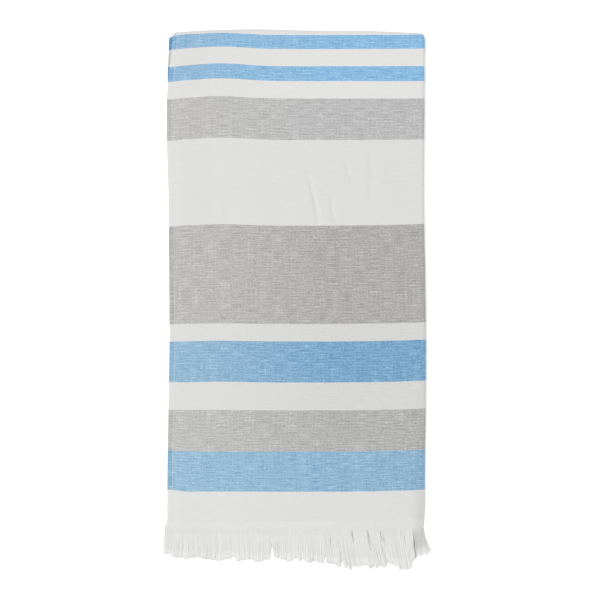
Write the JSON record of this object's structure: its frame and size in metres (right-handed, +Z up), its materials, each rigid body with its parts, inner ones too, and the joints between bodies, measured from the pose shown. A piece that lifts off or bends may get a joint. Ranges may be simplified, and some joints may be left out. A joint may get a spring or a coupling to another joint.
{
  "type": "fouta towel",
  "caption": "Flat-woven striped towel with hemmed sides and fringed ends, folded in half lengthwise and then crosswise, lying flat.",
  "frame": {"origin": "on the surface that the towel lies on, under the middle of the whole towel, fringe included", "axes": "+X towards the lengthwise fold, +Y from the fringe towards the crosswise fold, +Z up"},
  "size_m": [0.464, 0.9488, 0.0129],
  "materials": {
    "striped_cloth": "matt cotton, slubby horizontal stripes in blue, grey and white",
    "inner_cloth": "matt cotton, the same cloth where the folds hide it",
    "hem": "matt cotton, turned under and stitched",
    "fringe": "loose white cotton warp ends"
  },
  "bodies": {
    "root": {"outer_cloth": "striped_cloth", "inner_layers": "inner_cloth", "side_hem_outer": "hem", "side_hem_inner": "hem", "fringe_near_end": "fringe", "fringe_far_end": "fringe"}
  },
  "joints": []
}
